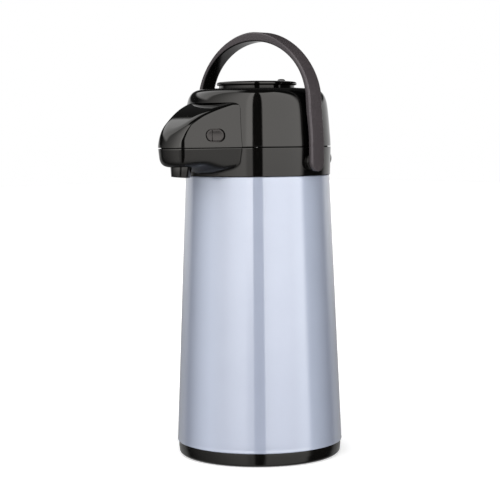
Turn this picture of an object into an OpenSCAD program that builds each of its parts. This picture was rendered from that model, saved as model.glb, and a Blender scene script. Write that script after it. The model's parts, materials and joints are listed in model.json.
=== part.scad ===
// Vacuum jug with a pump lid: glass liner in a tapered sleeve, swivel foot, spout and handle.
// Stands on z = 0 with the body axis on Z. The spout points to -Y, the lid hinge is at +Y,
// and the handle arches over the lid from side to side along X. Millimetres.

/* [Body] */
// Outside radius of the body sleeve at its bottom edge
body_r_bottom = 80; // [78:0.5:84]
// Outside radius of the body sleeve at its top edge
body_r_top = 69.3; // [68.8:0.1:69.6]
// Height of the top edge of the base ring, where the sleeve starts
sleeve_z0 = 13.5; // [13.2:0.1:14.5]
// Sheet thickness of the sleeve
sleeve_t = 0.8; // [0.6:0.1:1.0]

/* [Base] */
// Radius of the swivel foot under the base
foot_r = 66; // [58:1:67]
// Thickness of the non-slip pad
pad_t = 1.6; // [1.2:0.1:1.6]

/* [Liner] */
// Outside radius of the outer glass bottle
liner_r = 64; // [60:0.5:65]
// Gap between the two glass bottles, measured outside to outside
liner_gap = 5; // [4:0.5:6]
// Glass thickness
glass_t = 1.6; // [1.2:0.1:2.0]

/* [Handle] */
// Half of the outside width across the two handle legs
handle_half_w = 78.7; // [78.2:0.1:80]
// Height of the top of the handle when it stands upright
handle_top = 407; // [402:0.5:412]
// Width of the handle band, front to back
handle_depth = 17.5; // [15:0.5:19]
// Thickness of the band at the grip
grip_t = 8.8; // [6:0.2:9]
// Height of the handle pivot
pivot_z = 283.5; // [283:0.5:284]
// Distance of the handle pivot behind the body axis
pivot_y = 1.4; // [0:0.2:3]

/* [Spout] */
// Distance of the nose centre in front of the body axis
nose_y = 96.7; // [92:0.5:98]
// Radius of the nose in plan
nose_r = 23.4; // [22:0.2:24]
// Wall thickness of the mouldings
wall = 2.4; // [2.2:0.1:2.6]
// Length of the oval latch window
latch_len = 19.5; // [17:0.5:20]
// Height of the oval latch window
latch_h = 12.5; // [11:0.5:13]

/* [Pump] */
// Radius of the press button
button_r = 38.5; // [36:0.5:38.6]
// Height of the button top when released
button_top = 360; // [359:0.5:361]
// Number of folds in the bellows
folds = 6; // [5:1:7]
// Number of coils in the return spring
coils = 6; // [5:1:8]

/* [Hidden] */
$fn = 96;

// Colours used by several pieces
shell_dark = [0.10, 0.095, 0.085];
inner_dark = [0.14, 0.13, 0.12];
siphon_white = [0.9, 0.9, 0.88];
seal_grey = [0.75, 0.75, 0.72];

// Heights of the stack, bottom to top
seat_gap = 0.05;         // clearance between stacked pieces
bottle_rim_z = 263.5;
collar_z = 266.1;        // underside of the collar shelf
collar_shelf_t = 2.5;
siphon_z = 270.05;       // underside of the siphon flange
sleeve_z1 = 270.5;
stopper_z = 276;         // underside of the stopper hub
part_z = 297.4;          // parting line between collar and lid
lid_z0 = part_z + 0.3;
plate_z = 298.2;         // underside of the lid's inner plate
plate_t = 2.5;
bellows_z0 = plate_z + plate_t + seat_gap;
bellows_z1 = 336.1;
press_plate_t = 2.3;
lid_top = 353.5;

// Lid hinge, along X at the back
hinge_y = 69.5;
hinge_z = 285.3;
hinge_r = 8;
hinge_pin_r = 2;
knuckle_x0 = 14.1;       // inner end of an outer knuckle
knuckle_len = 12.9;
pivot_pin_r = 3;

// Siphon and outlet
tube_y = -16;            // dip tube axis
tube_r = 4.5;
stopper_y = 10;          // stopper axis
pipe_r = 4.4;
pipe_bore_r = 3.2;
pipe_z = 287.4;          // axis of the level run
bend_r = 6;
outlet_y = -nose_y - 3.1; // axis of the nozzle

// Side faces of the spout and the latches in them
slope_a = 20;            // the side faces flare by this angle
flare = [39, -58];       // [x, y] where a side face meets the head
latch_s = 27.1;          // distance of the latch centre along the side face
latch_c = flare - latch_s * [sin(slope_a), cos(slope_a)];
latch_z = 309;
latch_back = -wall - 1.6; // inner face of the latch flange, in the latch frame

// ---- shared shapes ----
function arc(cx, cy, r, a0, a1, n) =
  [for (i = [0:n]) let (a = a0 + (a1 - a0) * i / n) [cx + r * cos(a), cy + r * sin(a)]];

module both_sides() {
  for (s = [0, 1]) mirror([s, 0, 0]) children();
}

// upright cylinder between two heights
module post(r, z0, z1) {
  translate([0, 0, z0]) cylinder(r = r, h = z1 - z0);
}

module ring(inner_r, outer_r, z0, z1) {
  difference() {
    post(outer_r, z0, z1);
    post(inner_r, z0 - 1, z1 + 1);
  }
}

// cylinder that runs towards +X
module rod_x(start, r, h) {
  translate(start) rotate([0, 90, 0]) cylinder(r = r, h = h);
}

module hinge_rod(x, r, h) {
  rod_x([x, hinge_y, hinge_z], r, h, $fn = 48);
}

module pivot_rods(x, r, h) {
  both_sides() rod_x([x, pivot_y, pivot_z], r, h);
}

module at_lid_screws() {
  for (a = [45:90:315]) rotate([0, 0, a]) translate([54, 0, 0]) children();
}

// coil spring along +Z from 0 to h
module coil(r, wire_r, h, turns, seg = 22, sides = 8) {
  n = turns * seg;
  points = [
    for (i = [0:n]) let (a = 360 * i / seg, z = wire_r + (h - 2 * wire_r) * i / n)
    for (j = [0:sides - 1]) let (b = 360 * j / sides, reach = r + wire_r * cos(b))
      [reach * cos(a), reach * sin(a), z + wire_r * sin(b)]];
  polyhedron(points = points, convexity = 8, faces = concat(
    [[for (j = [0:sides - 1]) j]],
    [for (i = [0:n - 1], j = [0:sides - 1]) let (k = (j + 1) % sides)
      [i * sides + j, (i + 1) * sides + j, (i + 1) * sides + k]],
    [for (i = [0:n - 1], j = [0:sides - 1]) let (k = (j + 1) % sides)
      [i * sides + j, (i + 1) * sides + k, i * sides + k]],
    [[for (j = [sides - 1:-1:0]) n * sides + j]]));
}

// ---- spout envelope ----
// plan of the spout, grown by grow
module spout_plan(grow) {
  r = nose_r + grow;
  normal = [cos(slope_a), -sin(slope_a)];
  touch = [0, -nose_y] + r * normal;
  back = flare + 22 * [sin(slope_a), cos(slope_a)] + grow * normal;
  translate([0, -nose_y]) circle(r = r, $fn = 96);
  polygon([touch, back, [-back[0], back[1]], [-touch[0], touch[1]]]);
}

// spreads a [y, z] outline across the spout
module across() {
  rotate([90, 0, 90]) translate([0, 0, -60]) linear_extrude(height = 120) children();
}

// upper half of the spout: a beak that falls from the brow to the nose
brow_y = -62;
brow_z = 339;
tip_y = -(nose_y + nose_r);
function beak_z(s) = brow_z - 22 * s - 8 * s * s;
module beak_solid(grow) {
  n = 14;
  intersection() {
    translate([0, 0, lid_z0]) linear_extrude(height = 50) spout_plan(grow);
    across() polygon(concat(
      [[-30, brow_z + grow], [-30, part_z - 5], [tip_y - 4, part_z - 5]],
      [for (i = [n:-1:0]) [brow_y + (tip_y - brow_y - grow) * i / n, beak_z(i / n) + grow]]));
  }
}

// lower half of the spout, with a rounded nose bottom
module chin_solid(grow, z0) {
  front_y = tip_y - grow;
  round_r = 12;
  intersection() {
    translate([0, 0, z0 - 8]) linear_extrude(height = part_z + 8 - z0) spout_plan(grow);
    across() polygon(concat(
      [[-30, part_z + 1], [-30, z0 - 6.4], [-70, z0 - 6.4], [-86, z0]],
      [for (i = [0:8]) let (a = 90 * i / 8)
        [front_y + round_r * (1 - sin(a)), z0 + round_r * (1 - cos(a))]],
      [[front_y, part_z + 1]]));
  }
}

// latch frame: +X points out of the side face, side = 1 at +X, -1 at -X
module at_latch(side) {
  mirror([side < 0 ? 1 : 0, 0, 0]) translate([latch_c[0], latch_c[1], latch_z])
    rotate([0, 0, -slope_a]) children();
}

// oval block lying in the side face, from x0 to x1
module oval(len, h, x0, x1) {
  r = h / 2;
  for (s = [-1, 1]) rod_x([x0, s * (len / 2 - r), 0], r, x1 - x0, $fn = 48);
  translate([x0, -(len / 2 - r), -r]) cube([x1 - x0, len - 2 * r, h]);
}

// ---- foot ----
glide_r0 = 50;
glide_r1 = 58;
glide_z = 3.8;

module foot_pad() {
  color([0.08, 0.08, 0.08]) difference() {
    cylinder(r = foot_r - 6, h = pad_t);
    for (r = [26, 38, 50]) ring(r, r + 2.5, -1, 0.6);
  }
}

module swivel_base() {
  color([0.15, 0.15, 0.14]) difference() {
    union() {
      post(foot_r, pad_t, 4.4);
      post(9, pad_t, 8.1);
    }
    post(2.05, 3, 13, $fn = 48);
    ring(glide_r0 - 0.1, glide_r1 + 0.1, glide_z, 6);
  }
}

module swivel_glide_ring() {
  color("white") ring(glide_r0, glide_r1, glide_z, 5.4);
}

module swivel_washer() {
  color("silver") ring(2.2, 14, 8.12, 9.1);
}

module swivel_screw() {
  color("silver") {
    post(2, 3.1, 10.1, $fn = 48);
    // head with a cross slot
    translate([0, 0, 9.12]) difference() {
      cylinder(r = 4.6, h = 2.1, $fn = 48);
      translate([-3, -0.5, 1.1]) cube([6, 1, 2]);
      translate([-0.5, -3, 1.1]) cube([1, 6, 2]);
    }
  }
}

// ---- body ----
module base_cap() {
  lip_r = foot_r + 1.3;
  // [radius, height]
  color([0.12, 0.11, 0.10]) rotate_extrude() polygon(concat(
    [[9.3, 5.5], [lip_r, 5.5], [lip_r, 0.6]],
    arc(76.2, 3.2, 2.6, -90, -12, 8),
    [[79, 12.6], [78.7, sleeve_z0 - 0.05], [77.8, sleeve_z0 - 0.05], [77.2, 26],
      [75.2, 26], [75.2, 11], [72, 8], [9.3, 8]]));
}

module body_sleeve() {
  t = sleeve_t;
  top = sleeve_z1 - 0.05;
  // [radius, height]
  color([0.72, 0.76, 0.86]) rotate_extrude() polygon([
    [78, sleeve_z0], [body_r_bottom - 0.3, sleeve_z0],
    [body_r_bottom + 0.1, sleeve_z0 + 0.5], [body_r_bottom, sleeve_z0 + 1.4],
    [body_r_top + 0.04, sleeve_z1 - 1], [body_r_top - 0.6, top],
    [63, top], [63, top - t], [body_r_top - t, sleeve_z1 - 0.9 - t],
    [body_r_bottom - t, sleeve_z0 + t + 0.3], [78, sleeve_z0 + t]]);
}

module liner_cushion() {
  color([0.55, 0.55, 0.52]) ring(18, 42, 8.05, 16);
}

// glass bottle, open at the top; radii are outside
module bottle(r, neck_r, bottom, shoulder, neck_z, top) {
  t = glass_t;
  corner_r = 20;
  step = r - neck_r;
  rise = neck_z - shoulder;
  rotate_extrude() polygon(concat(
    [[0, bottom]],
    arc(r - corner_r, bottom + corner_r, corner_r, -90, 0, 10),
    [for (i = [0:10]) let (a = 9 * i) [neck_r + step * cos(a), shoulder + rise * sin(a)]],
    [[neck_r, top], [neck_r - t, top]],
    [for (i = [10:-1:0]) let (a = 9 * i)
      [neck_r - t + step * cos(a), shoulder - t + rise * sin(a)]],
    arc(r - corner_r, bottom + corner_r, corner_r - t, 0, -90, 10),
    [[0, bottom + t]]));
}

module liner_outer_bottle() {
  color([0.80, 0.84, 0.86])
    bottle(r = liner_r, neck_r = 34.5, bottom = 16.05, shoulder = 226, neck_z = 250, top = 262);
}

module liner_inner_bottle() {
  color([0.85, 0.88, 0.90]) union() {
    bottle(r = liner_r - liner_gap, neck_r = 32, bottom = 21, shoulder = 214, neck_z = 243,
      top = bottle_rim_z);
    // rim over the outer neck
    ring(31, 34.5, 262.02, bottle_rim_z);
  }
}

module neck_seal() {
  color(seal_grey) ring(30.6, 36, bottle_rim_z + seat_gap, collar_z - seat_gap);
}

// ---- collar ----
module collar() {
  shelf_z1 = collar_z + collar_shelf_t;
  chin_z = 280;
  color(shell_dark) difference() {
    union() {
      // [radius, height]
      rotate_extrude() polygon([[30.6, collar_z], [62.8, collar_z], [62.8, sleeve_z1],
        [70.0, sleeve_z1], [70.3, sleeve_z1 + 0.5], [70.9, part_z - 0.5], [70.6, part_z],
        [68.3, part_z], [67.7, 273], [60.2, 273], [60.2, shelf_z1], [30.6, shelf_z1]]);
      // chin, hollow and open at the top
      difference() {
        chin_solid(0, chin_z);
        chin_solid(-wall, chin_z + wall);
        translate([0, 0, 290]) linear_extrude(height = 10) spout_plan(-wall);
        post(69, 270, 310);
      }
      // centre knuckle of the lid hinge
      hinge_rod(-13.8, hinge_r, 27.6);
      translate([-13.8, 66, hinge_z - hinge_r]) cube([27.6, hinge_y - 66, 2 * hinge_r]);
      // side bosses the handle turns on
      pivot_rods(67.5, 8.4, 5.6, $fn = 64);
    }
    // notches for the lid knuckles
    both_sides() translate([knuckle_x0 - 0.2, 60.5, hinge_z - hinge_r - 0.6])
      cube([knuckle_len + 0.7, 20, 24]);
    hinge_rod(-40, hinge_pin_r + 0.06, 80);
    pivot_rods(66.4, pivot_pin_r + 0.02, 10, $fn = 48);
    // way out for the pipe, and the seat of the nozzle
    translate([0, -60, pipe_z]) rotate([90, 0, 0]) cylinder(r = 5.2, h = 14, $fn = 48);
    translate([0, outlet_y, 0]) post(7.4, 275, 287, $fn = 48);
  }
}

module siphon_seal() {
  color(seal_grey)
    ring(31.5, 35.5, collar_z + collar_shelf_t + seat_gap, siphon_z - seat_gap);
}

module siphon_flange() {
  color(siphon_white) difference() {
    union() {
      post(37, siphon_z, siphon_z + 2.4);
      post(29.6, 264, 271);
      translate([0, tube_y, 0]) post(7.4, siphon_z, siphon_z + 7.4, $fn = 48);
      translate([0, stopper_y, 0]) post(16, siphon_z, siphon_z + 2.9);
    }
    translate([0, tube_y, 0]) post(tube_r + 0.05, 260, 290, $fn = 48);
    translate([0, stopper_y, 0]) post(6, 260, 290, $fn = 48);
  }
}

module dip_tube() {
  bottom = 31;
  top = 275;
  color([0.92, 0.92, 0.9]) translate([0, tube_y, 0]) difference() {
    post(tube_r, bottom, top, $fn = 48);
    post(3.3, bottom - 1, top + 1, $fn = 48);
    // notch across the bottom end
    translate([0, 0, bottom]) rotate([0, 45, 0]) cube([5, 12, 5], center = true);
  }
}

// quarter bend from upright at the origin to level, towards -Y, or +Y if flipped
module elbow(r, flipped) {
  mirror([0, flipped ? 1 : 0, 0]) translate([0, -bend_r, 0]) rotate([90, 0, 90])
    rotate_extrude(angle = 90, $fn = 64) translate([bend_r, 0]) circle(r = r, $fn = 48);
}

// up from rise_z over the dip tube, forwards, and down to drop_z at the outlet
module pipe_path(r, rise_z, drop_z) {
  bend_z = pipe_z - bend_r;
  translate([0, tube_y, 0]) post(r, rise_z, bend_z, $fn = 48);
  translate([0, tube_y, bend_z]) elbow(r, false);
  translate([0, tube_y - bend_r, pipe_z]) rotate([90, 0, 0])
    cylinder(r = r, h = tube_y - outlet_y - 2 * bend_r, $fn = 48);
  translate([0, outlet_y, bend_z]) elbow(r, true);
  translate([0, outlet_y, 0]) post(r, drop_z, bend_z, $fn = 48);
}

module outlet_pipe() {
  color(siphon_white) difference() {
    pipe_path(pipe_r, 275.1, 273);
    pipe_path(pipe_bore_r, 274, 272);
  }
}

module nozzle() {
  color(shell_dark) translate([0, outlet_y, 0]) difference() {
    union() {
      translate([0, 0, 270.6]) cylinder(r1 = 8.7, r2 = 10, h = 9.3, $fn = 64);
      post(7.2, 279, 281.35, $fn = 64);
    }
    post(4.6, 269, 289, $fn = 48);
    post(7, 269, 274, $fn = 48);
  }
}

module hinge_pin() {
  color("silver") hinge_rod(-26.8, hinge_pin_r, 53.6);
}

module handle_pivot_pins() {
  color("silver") pivot_rods(66.5, pivot_pin_r, 9.8, $fn = 48);
}

// ---- handle ----
arch_z = 341.5;          // the legs meet the arch here
arch_half_w = handle_half_w - 2.9;
leg_t = 4.9;

function smooth(u) = u <= 0 ? 0 : u >= 1 ? 1 : u * u * (3 - 2 * u);
function leg_x(z, inset) =
  arch_half_w + (handle_half_w - arch_half_w) * smooth((arch_z - z) / 40) - inset;
// the inner outline starts one leg thickness in and eases to the full side inset
function leg_inset(z, side_inset) =
  side_inset > 0 ? leg_t + (side_inset - leg_t) * smooth((z - 305) / 30) : 0;
// half outline [x, z]: leg below arch_z, superellipse of the given exponent above
function arch_pts(side_inset, top_inset, exponent, n = 26) = concat(
  [for (i = [0:6]) let (z = pivot_z + (arch_z - 6 - pivot_z) * i / 6)
    [leg_x(z, leg_inset(z, side_inset)), z]],
  [for (i = [0:n]) let (a = 90 * i / n)
    [(arch_half_w - side_inset) * pow(cos(a), 2 / exponent),
      arch_z + (handle_top - top_inset - arch_z) * pow(sin(a), 2 / exponent)]]);

module arch_face(side_inset, top_inset, exponent) {
  half = arch_pts(side_inset, top_inset, exponent);
  polygon(concat(half, [for (i = [len(half) - 2:-1:0]) [-half[i][0], half[i][1]]]));
}

module handle() {
  color([0.16, 0.14, 0.13]) difference() {
    union() {
      translate([0, pivot_y + handle_depth / 2, 0]) rotate([90, 0, 0])
        linear_extrude(height = handle_depth) difference() {
          arch_face(0, 0, 1.84);
          arch_face(5.7, grip_t, 2.02);
        }
      // round leg ends
      pivot_rods(handle_half_w - leg_t, handle_depth / 2, leg_t, $fn = 64);
    }
    pivot_rods(60, pivot_pin_r + 0.06, 16.9, $fn = 48);
  }
}

// ---- lid ----
// outside of the lid from bottom to top: [radius, height]
lid_profile = [
  [70.7, lid_z0], [70.6, 302], [70.4, 306], [70.0, 311], [69.5, 318], [68.8, 326],
  [68.1, 333], [67.3, 338.5], [66.6, 341.5], [65.6, 344.3], [64.3, 346.8], [62.6, 349.0],
  [60.6, 350.55], [58.3, 351.65], [55.8, 352.3], [53, 352.7], [45, 353.3], [41.5, lid_top]];

module lid_shell() {
  bore_r = button_r + 0.6;
  spout_gap = 0.35;
  color(shell_dark) difference() {
    union() {
      difference() {
        rotate_extrude() polygon(concat([[0, lid_z0]], lid_profile, [[0, lid_top]]));
        // inside, one wall thickness in
        rotate_extrude() polygon(concat(
          [[0, part_z - 1], [70.7 - wall, part_z - 1]],
          [for (p = lid_profile) if (p[1] < 349) [p[0] - wall, p[1]]],
          [[59, 349.0], [55, 350.1], [0, lid_top - wall]]));
      }
      // guide for the button
      ring(bore_r, button_r + 2.8, 330, lid_top - 1);
      // posts for the lid screws
      at_lid_screws() post(3.8, 300.8, 350.8, $fn = 48);
      // outer knuckles of the hinge
      both_sides() {
        hinge_rod(knuckle_x0, hinge_r, knuckle_len);
        difference() {
          translate([knuckle_x0, 63.5, hinge_z - 2]) cube([knuckle_len, 7.0, 18]);
          post(62.5, 270, 310);
        }
      }
    }
    cylinder(r = bore_r, h = 400);
    // space for the spout cover
    difference() {
      beak_solid(spout_gap);
      post(60, 290, 350);
    }
    translate([-50, -68, part_z - 2]) intersection() {
      cube([100, 20, 6]);
      translate([50, 68, 0]) linear_extrude(height = 10) spout_plan(spout_gap);
    }
    hinge_rod(-40, hinge_pin_r + 0.06, 80);
    at_lid_screws() post(1.55, 290, 310, $fn = 32);
  }
}

module spout_cover() {
  color(shell_dark) difference() {
    beak_solid(0);
    // hollow, with an upright rib left behind each latch
    difference() {
      beak_solid(-wall);
      for (s = [-1, 1]) at_latch(s) translate([-14.5, -7, -9]) cube([2, 14, 60]);
    }
    translate([0, 0, part_z - 4]) linear_extrude(height = 6) spout_plan(-wall);
    post(68.15, 280, 360);
    for (s = [-1, 1]) at_latch(s) oval(latch_len, latch_h, -wall - 2, 3);
  }
}

module lid_inner_plate() {
  color(inner_dark) difference() {
    union() {
      post(67.9, plate_z, plate_z + plate_t);
      translate([0, stopper_y, 0]) post(13, stopper_z, 299);
      // rim round the bellows
      ring(32.4, 34.4, 300, 305);
    }
    translate([0, stopper_y, 0]) post(7.5, 270, 310, $fn = 48);
    at_lid_screws() post(1.7, 290, 310, $fn = 32);
    // relief round the hinge
    translate([-28, 62.3, 290]) cube([56, 12, 20]);
  }
}

module lid_screws() {
  color("silver") at_lid_screws() {
    post(3.2, 296.6, plate_z - 0.02, $fn = 32);
    post(1.5, 297, 309, $fn = 32);
  }
}

module stopper_gasket() {
  color(seal_grey) translate([0, stopper_y, 0]) ring(7.6, 13.6, 273, stopper_z - seat_gap);
}

// ---- pump ----
module bellows() {
  z0 = bellows_z0;
  z1 = bellows_z1;
  t = 1.1;
  hole_r = 12.8;
  outer_r = 32;
  inner_ridge_r = 30.6;
  pitch = (z1 - z0 - 2 * t) / folds;
  function fold_z(i) = z0 + t + pitch * i;
  color([0.62, 0.62, 0.58]) rotate_extrude() polygon(concat(
    [[hole_r, z0], [outer_r, z0]],
    [for (i = [0:folds - 1]) for (k = [0, 1])
      k == 0 ? [outer_r, fold_z(i) + 0.2] : [27, fold_z(i) + pitch / 2]],
    [[outer_r, fold_z(folds) - 0.2], [outer_r, z1], [hole_r, z1],
      [hole_r, z1 - t], [inner_ridge_r, z1 - t]],
    [for (i = [folds - 1:-1:0]) for (k = [0, 1])
      k == 0 ? [25.6, fold_z(i) + pitch / 2]
        : [inner_ridge_r, fold_z(i) + (i == 0 ? 0.05 : 0)]],
    [[30.5, z0 + t], [hole_r, z0 + t]]));
}

module return_spring() {
  color("silver") translate([0, 0, bellows_z0 + seat_gap])
    coil(r = 10.4, wire_r = 0.9, h = 35.2, turns = coils);
}

module pressure_plate() {
  z0 = bellows_z1 + seat_gap;
  color([0.85, 0.85, 0.82]) difference() {
    post(33.5, z0, z0 + press_plate_t);
    for (a = [0:90:270]) rotate([0, 0, a]) translate([16, 0, 0]) post(2, 330, 350, $fn = 32);
  }
}

module air_valve_disc() {
  z0 = bellows_z1 + press_plate_t + 2 * seat_gap;
  color(seal_grey) ring(12.3, 21, z0, z0 + 0.8);
}

// domed face of the press button, raised by lift: [radius, height]
button_dome = [[0, 0.6], [15, 0.5], [25, 0.25], [31, -0.1], [34.5, -0.3], [36.9, -0.7],
  [37.8, -1.1], [38.3, -1.7], [button_r, -2.4]];
function button_face(lift) = [for (p = button_dome) [p[0], button_top + p[1] + lift]];

module pump_button() {
  z = button_top;
  skirt_r = button_r - 2.3;
  skirt_inner_r = button_r - 4.3;
  color(shell_dark) difference() {
    rotate_extrude() polygon(concat(button_face(0), [
      [button_r, z - 3.1], [button_r - 0.4, z - 3.6], [button_r - 1.2, z - 3.9],
      [skirt_r, z - 4.5], [skirt_r, 334], [skirt_inner_r, 334], [skirt_inner_r, z - 6],
      [button_r - 5.5, z - 4.6], [28, z - 4.3], [26, z - 3.4],
      [11.9, z - 3.4], [11.9, 338.5], [9.9, 338.5], [9.9, z - 3.4], [0, z - 3.4]]));
    // slot for the lock stem and window for its tab
    translate([-1.6, 29.3, z - 6]) cube([3.2, 8.4, 9]);
    translate([-4.3, 33, 353.4]) cube([8.6, 8, 2]);
  }
}

module lock_slider() {
  z = button_top;
  knob_y = 34.1;
  color([0.12, 0.12, 0.11]) {
    difference() {
      translate([0, knob_y, 0]) post(4.2, z - 4, z + 2.9, $fn = 48);
      // underside follows the button face
      rotate_extrude()
        polygon(concat([[0, 340]], button_face(0.25), [[44, z - 1.85], [44, 340]]));
      // three grooves on top
      for (k = [-1:1]) translate([-5, knob_y + k * 1.9 - 0.3, z + 2.5]) cube([10, 0.6, 1]);
    }
    // stem and tab
    translate([-1.3, 29.7, z - 5]) cube([2.6, 3.6, 6]);
    translate([-3.9, 28.6, 353.7]) cube([7.8, 9, 1.5]);
  }
}

// ---- latches ----
module latch_button(side) {
  flange_t = 1.35;
  color(inner_dark) at_latch(side) {
    difference() {
      oval(latch_len - 0.9, latch_h - 0.9, -wall - 0.4, -0.9);
      // shallow upright groove in the outer face
      translate([-0.4, latch_len / 6, 0]) post(0.8, -10, 10, $fn = 24);
    }
    // flange behind the window
    oval(latch_len + 2.4, latch_h + 2.4, latch_back, latch_back + flange_t);
    // arm that hangs below the flange
    translate([latch_back, -4, -16]) cube([flange_t, 8, 12]);
  }
}

module latch_spring(side) {
  color("silver") at_latch(side) translate([latch_back - 0.02, 0, 0]) rotate([0, -90, 0])
    coil(r = 4, wire_r = 0.45, h = 5.2, turns = 4, seg = 16, sides = 6);
}

module latch_button_left() { latch_button(-1); }
module latch_button_right() { latch_button(1); }
module latch_spring_left() { latch_spring(-1); }
module latch_spring_right() { latch_spring(1); }

foot_pad();
swivel_base();
swivel_glide_ring();
swivel_washer();
swivel_screw();
base_cap();
body_sleeve();
liner_cushion();
liner_outer_bottle();
liner_inner_bottle();
neck_seal();
collar();
siphon_seal();
siphon_flange();
dip_tube();
outlet_pipe();
nozzle();
hinge_pin();
handle_pivot_pins();
handle();
lid_shell();
spout_cover();
lid_inner_plate();
lid_screws();
stopper_gasket();
bellows();
return_spring();
pressure_plate();
air_valve_disc();
pump_button();
lock_slider();
latch_button_left();
latch_button_right();
latch_spring_left();
latch_spring_right();
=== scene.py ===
# A vacuum jug with a tapered painted sleeve, a black collar and domed lid, a press button
# on top, a beak-shaped spout and a swinging carry handle.
# The jug stands on the floor with its axis on Z. The spout points to -Y, the lid's hinge is
# at +Y, and the handle turns on pivots at +X and -X. Lengths are in millimetres until
# make() scales them to metres, unless a comment says otherwise.
import bpy, bmesh, math, json
import numpy as np
from mathutils import Vector, Matrix


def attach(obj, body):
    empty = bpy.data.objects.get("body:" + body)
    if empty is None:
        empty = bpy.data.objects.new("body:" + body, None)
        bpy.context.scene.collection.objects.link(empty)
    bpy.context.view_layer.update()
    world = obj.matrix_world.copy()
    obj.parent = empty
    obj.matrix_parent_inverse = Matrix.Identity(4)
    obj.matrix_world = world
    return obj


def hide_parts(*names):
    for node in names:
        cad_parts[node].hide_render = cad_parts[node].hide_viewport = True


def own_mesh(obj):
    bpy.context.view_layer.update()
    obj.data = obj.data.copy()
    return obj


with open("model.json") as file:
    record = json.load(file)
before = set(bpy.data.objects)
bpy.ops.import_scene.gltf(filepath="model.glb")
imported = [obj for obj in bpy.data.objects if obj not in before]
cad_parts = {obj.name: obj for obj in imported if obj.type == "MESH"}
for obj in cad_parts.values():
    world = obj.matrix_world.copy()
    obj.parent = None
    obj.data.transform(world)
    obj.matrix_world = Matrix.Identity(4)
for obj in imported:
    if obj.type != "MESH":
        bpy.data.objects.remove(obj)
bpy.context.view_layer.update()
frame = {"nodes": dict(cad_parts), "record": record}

scene = bpy.context.scene
coll = scene.collection

# ------------------------------------------------------------------ shared sizes
MM = 0.001
SLEEVE_Z = 13.5                  # foot of the sleeve
SLEEVE_FOOT_R, SLEEVE_TOP_R = 80, 69.3
SLEEVE_WALL = 0.8
COLLAR_Z = 270.5                 # sleeve meets collar
PART_Z = 297.4                   # collar meets lid
LID_Z = 298.0                    # lower edge of the lid
BUTTON_Z = 360.0                 # top face of the press button
HINGE_Y, HINGE_Z, HINGE_R = 69.5, 285.3, 8.0
PIVOT_Y, PIVOT_Z = 1.4, 283.5    # handle pivots
SPOUT_TURN = math.radians(20.0)  # each side face of the spout is turned this far from YZ
NOSE_Y, NOSE_R = -96.7, 23.4     # centre and radius of the round nose, in plan


# ------------------------------------------------------------------ shader tools
class Graph:
    """the node tree of one material or world; inputs take a socket to link or a plain value"""

    def __init__(self, tree):
        tree.nodes.clear()
        self.tree = tree

    def fill(self, node, inputs):
        for key, value in inputs.items():
            if isinstance(value, bpy.types.NodeSocket):
                self.tree.links.new(value, node.inputs[key])
            else:
                node.inputs[key].default_value = value

    def node(self, kind, inputs=None, **settings):
        node = self.tree.nodes.new("ShaderNode" + kind)
        for name, value in settings.items():
            setattr(node, name, value)
        self.fill(node, inputs or {})
        return node

    def coords(self, output="Object"):
        return self.node("TexCoord").outputs[output]

    def math(self, operation, *values, clamp=False):
        inputs = dict(enumerate(values))
        return self.node("Math", inputs, operation=operation, use_clamp=clamp).outputs[0]

    def add(self, a, b, clamp=False):
        return self.math("ADD", a, b, clamp=clamp)

    def sub(self, a, b):
        return self.math("SUBTRACT", a, b)

    def mul(self, a, b):
        return self.math("MULTIPLY", a, b)

    def swing(self, noise, amount):
        """a 0 to 1 noise centred on zero and scaled"""
        return self.mul(self.sub(noise, 0.5), amount)

    def ramp(self, source, at, to=(0.0, 1.0), smooth=True):
        """carries the range `at` onto the range `to`"""
        kind = "SMOOTHSTEP" if smooth else "LINEAR"
        return self.node("MapRange", {"Value": source, "From Min": at[0], "From Max": at[1],
                                      "To Min": to[0], "To Max": to[1]},
                         interpolation_type=kind).outputs[0]

    def noise(self, coords, scale, detail=3.0, rough=0.5):
        return self.node("TexNoise", {"Vector": coords, "Scale": scale, "Detail": detail,
                                      "Roughness": rough}).outputs["Fac"]

    def stretch(self, coords, scale, rotation=(0, 0, 0)):
        return self.node("Mapping", {"Vector": coords, "Scale": scale,
                                     "Rotation": rotation}).outputs[0]

    def mix(self, factor, a, b):
        """blends two colours, each a socket or an RGB triple"""
        a, b = ((*c, 1) if isinstance(c, (tuple, list)) else c for c in (a, b))
        return self.node("Mix", {0: factor, 6: a, 7: b}, data_type="RGBA").outputs[2]

    def bump(self, height, distance):
        """distance in metres"""
        return self.node("Bump", {"Height": height, "Distance": distance}).outputs[0]


MAT = {}


def material(name):
    """registers a new material and returns its graph and its shader node"""
    mat = MAT[name] = bpy.data.materials.new(name)
    mat.use_nodes = True
    g = Graph(mat.node_tree)
    out = g.node("OutputMaterial")
    shader = g.node("BsdfPrincipled")
    g.fill(out, {0: shader.outputs[0]})
    return g, shader


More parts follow.
